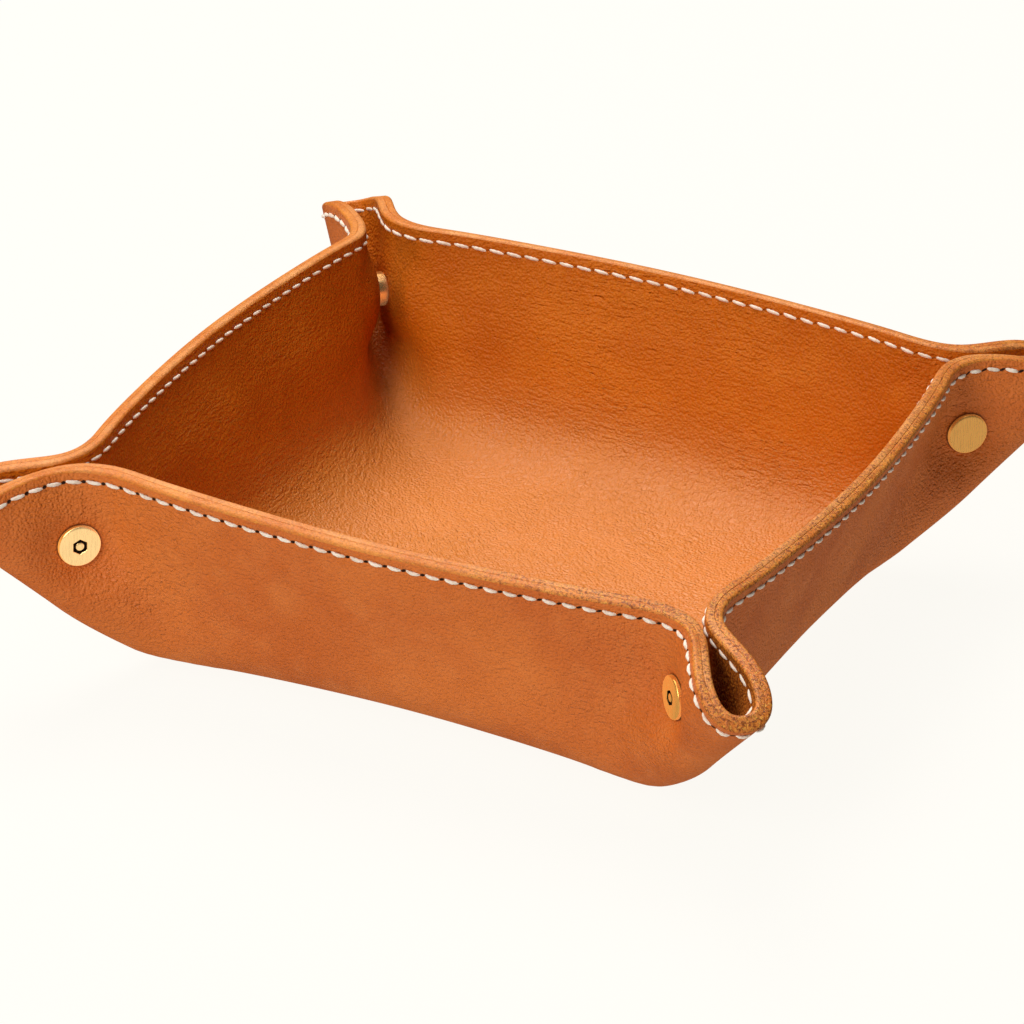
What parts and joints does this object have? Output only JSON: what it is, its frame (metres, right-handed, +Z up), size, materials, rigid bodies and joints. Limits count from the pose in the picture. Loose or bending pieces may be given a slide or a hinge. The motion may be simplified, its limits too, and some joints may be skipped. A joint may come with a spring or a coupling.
{
  "type": "leather valet tray",
  "caption": "Square leather catch-all tray, its stitched walls pinched into ears at the corners by brass post screws.",
  "frame": {"origin": "middle of the tray's flat underside", "axes": "+Z up through the open top, +X along the front wall to the right, -Y towards the front"},
  "size_m": [0.2166, 0.2179, 0.0597],
  "materials": {
    "outer_leather": "tan full-grain leather, satin",
    "lining_leather": "tan full-grain leather, satin",
    "thread": "waxed off-white thread",
    "brass": "satin brushed brass"
  },
  "bodies": {
    "tray": {"outer_leather": "outer_leather", "lining_leather": "lining_leather", "needle_thread": "thread", "bobbin_thread": "thread", "front_right_collar": "brass", "back_right_collar": "brass", "back_left_collar": "brass", "front_left_collar": "brass"},
    "front_right_screw": {"front_right_screw": "brass"},
    "front_right_barrel": {"front_right_barrel": "brass"},
    "back_right_screw": {"back_right_screw": "brass"},
    "back_right_barrel": {"back_right_barrel": "brass"},
    "back_left_screw": {"back_left_screw": "brass"},
    "back_left_barrel": {"back_left_barrel": "brass"},
    "front_left_screw": {"front_left_screw": "brass"},
    "front_left_barrel": {"front_left_barrel": "brass"}
  },
  "joints": [
    {"name": "front_right_screw_turn", "type": "hinge", "parent": "tray", "child": "front_right_screw", "pos_m": [0.08114, -0.08114, 0.0389], "axis": [-0.7071, -0.7071, 0], "range_deg": [0, 2520]},
    {"name": "front_right_barrel_slide", "type": "slide", "parent": "tray", "child": "front_right_barrel", "axis": [0.7071, 0.7071, 0], "range_m": [0, 0.0049]},
    {"name": "back_right_screw_turn", "type": "hinge", "parent": "tray", "child": "back_right_screw", "pos_m": [0.08114, 0.08114, 0.0389], "axis": [-0.7071, 0.7071, 0], "range_deg": [0, 2520]},
    {"name": "back_right_barrel_slide", "type": "slide", "parent": "tray", "child": "back_right_barrel", "axis": [0.7071, -0.7071, 0], "range_m": [0, 0.0049]},
    {"name": "back_left_screw_turn", "type": "hinge", "parent": "tray", "child": "back_left_screw", "pos_m": [-0.08114, 0.08114, 0.0389], "axis": [0.7071, 0.7071, 0], "range_deg": [0, 2520]},
    {"name": "back_left_barrel_slide", "type": "slide", "parent": "tray", "child": "back_left_barrel", "axis": [-0.7071, -0.7071, 0], "range_m": [0, 0.0049]},
    {"name": "front_left_screw_turn", "type": "hinge", "parent": "tray", "child": "front_left_screw", "pos_m": [-0.08114, -0.08114, 0.0389], "axis": [0.7071, -0.7071, 0], "range_deg": [0, 2520]},
    {"name": "front_left_barrel_slide", "type": "slide", "parent": "tray", "child": "front_left_barrel", "axis": [-0.7071, 0.7071, 0], "range_m": [0, 0.0049]}
  ],
  "couplings": [
    {"joint": "front_right_screw_turn", "follows": "front_right_barrel_slide", "rad_per_m": 8975.9},
    {"joint": "back_right_screw_turn", "follows": "back_right_barrel_slide", "rad_per_m": 8975.9},
    {"joint": "back_left_screw_turn", "follows": "back_left_barrel_slide", "rad_per_m": 8975.9},
    {"joint": "front_left_screw_turn", "follows": "front_left_barrel_slide", "rad_per_m": 8975.9}
  ]
}
